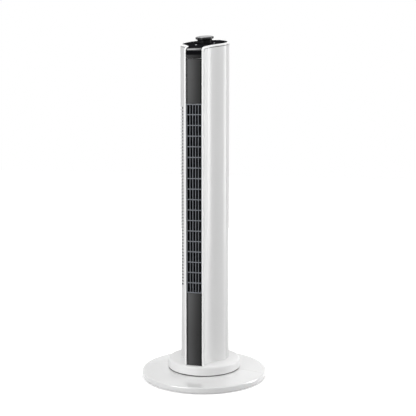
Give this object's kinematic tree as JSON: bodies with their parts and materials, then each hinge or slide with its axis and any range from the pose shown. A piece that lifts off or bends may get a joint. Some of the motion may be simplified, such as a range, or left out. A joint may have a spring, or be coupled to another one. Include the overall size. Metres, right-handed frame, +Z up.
{
  "type": "tower fan",
  "caption": "Slim tower fan: narrow grilled nose between flared wings, sloped knob panel on top, swinging on a round two-part base.",
  "frame": {"origin": "on the floor, at the middle of the round base, on the axis that the column swings about", "axes": "+Z up; -Y is the front, where the air comes out; +X is to the right seen from behind the fan, which is the left seen from its front"},
  "size_m": [0.32, 0.3197, 0.8747],
  "materials": {
    "white_gloss": "gloss white, moulded",
    "black_gloss": "piano-black gloss",
    "smoke_gloss": "dark grey gloss",
    "grille_black": "satin black",
    "satin_silver": "satin silver",
    "dark_plastic": "plain dark moulding",
    "grey_plastic": "plain grey moulding",
    "acetal": "natural acetal",
    "rubber": "soft black rubber",
    "steel": "bright steel",
    "zinc": "zinc-plated steel",
    "lamination": "stacked steel sheets",
    "board_green": "green board"
  },
  "bodies": {
    "base": {"base_front_half": "white_gloss", "base_rear_half": "white_gloss", "pivot_housing": "grey_plastic", "slide_ring": "acetal", "cord_bushing": "rubber", "swing_motor": "steel", "base_foot_1": "rubber", "base_foot_2": "rubber", "base_foot_3": "rubber", "base_foot_4": "rubber", "base_screw_1": "zinc", "base_screw_2": "zinc", "base_screw_3": "zinc", "base_screw_4": "zinc"},
    "column": {"front_housing": "white_gloss", "rear_shell": "white_gloss", "turntable": "white_gloss", "display_window": "black_gloss", "top_panel": "black_gloss", "lower_front_panel": "smoke_gloss", "upper_front_panel": "smoke_gloss", "outlet_grille": "grille_black", "trim_strip": "satin_silver", "scroll_wall": "dark_plastic", "tongue_wall": "dark_plastic", "rotary_switch": "dark_plastic", "floor_plate": "grey_plastic", "lower_bulkhead": "grey_plastic", "upper_bulkhead": "grey_plastic", "swing_gear_sector": "acetal", "pivot_nut": "acetal", "run_capacitor": "acetal", "top_bushing": "rubber", "motor_damper_1": "rubber", "motor_damper_2": "rubber", "motor_damper_3": "rubber", "motor_upper_shell": "zinc", "motor_lower_shell": "zinc", "switch_nut": "zinc", "turntable_screw_1": "zinc", "turntable_screw_2": "zinc", "turntable_screw_3": "zinc", "turntable_screw_4": "zinc", "cover_screw_1": "zinc", "cover_screw_2": "zinc", "cover_screw_3": "zinc", "motor_stator": "lamination", "control_board": "board_green"},
    "impeller": {"impeller": "dark_plastic", "impeller_pin": "steel", "motor_shaft": "steel", "motor_rotor": "lamination"},
    "knob": {"control_knob": "black_gloss", "knob_cap": "satin_silver", "knob_shaft": "steel"},
    "swing_gear": {"swing_pinion": "acetal", "swing_motor_shaft": "steel"}
  },
  "joints": [
    {"name": "oscillation", "type": "hinge", "parent": "base", "child": "column", "pos_m": [0, 0, 0.03], "axis": [0, 0, 1], "range_deg": [-35, 35]},
    {"name": "swing_gear_spin", "type": "hinge", "parent": "base", "child": "swing_gear", "pos_m": [0, 0.043, 0.04], "axis": [0, 0, 1], "range_deg": [-161, 161]},
    {"name": "impeller_spin", "type": "hinge", "parent": "column", "child": "impeller", "pos_m": [0, 0.008, 0.46], "axis": [0, 0, 1], "continuous": true},
    {"name": "knob_turn", "type": "hinge", "parent": "column", "child": "knob", "pos_m": [0, 0.008, 0.85458], "axis": [0, -0.1959, 0.9806], "range_deg": [-270, 0]}
  ],
  "couplings": [
    {"joint": "swing_gear_spin", "follows": "oscillation", "ratio": 4.5833}
  ]
}
